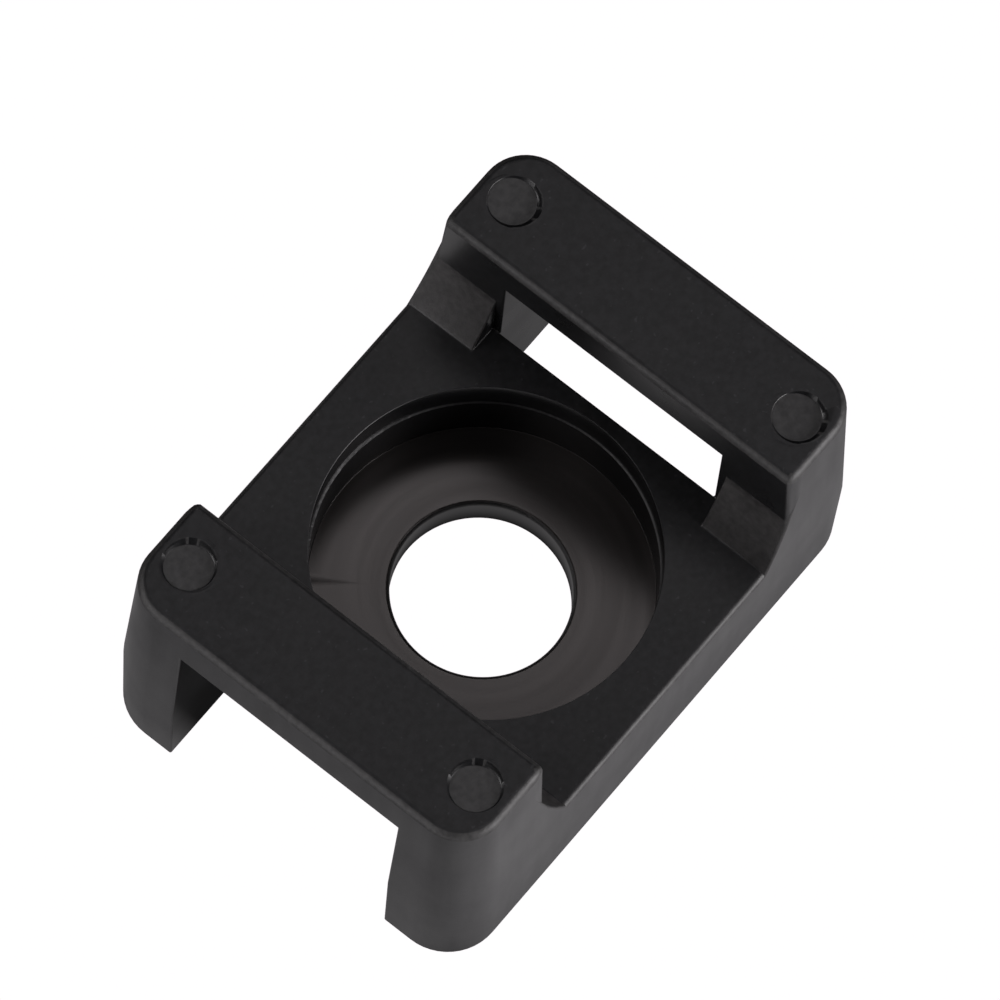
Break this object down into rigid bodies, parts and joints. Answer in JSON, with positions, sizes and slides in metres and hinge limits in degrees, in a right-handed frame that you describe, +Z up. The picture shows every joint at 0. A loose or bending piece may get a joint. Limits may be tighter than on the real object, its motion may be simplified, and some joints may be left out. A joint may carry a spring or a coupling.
{
  "type": "cable tie mount",
  "caption": "Saddle-shaped black nylon mount: a rounded block with a recessed screw hole between two raised bars that a cable tie is threaded under.",
  "frame": {"origin": "centre of the base, on the axis of the screw hole", "axes": "+X along the length, across the two bars; +Y across the width; +Z up from the surface that the mount is screwed to"},
  "size_m": [0.0218, 0.0154, 0.0104],
  "materials": {
    "black_nylon": "fine matt mould texture, smoother on the floor of the screw recess and on the round ejector marks"
  },
  "bodies": {
    "root": {"tie_mount": "black_nylon"}
  },
  "joints": []
}
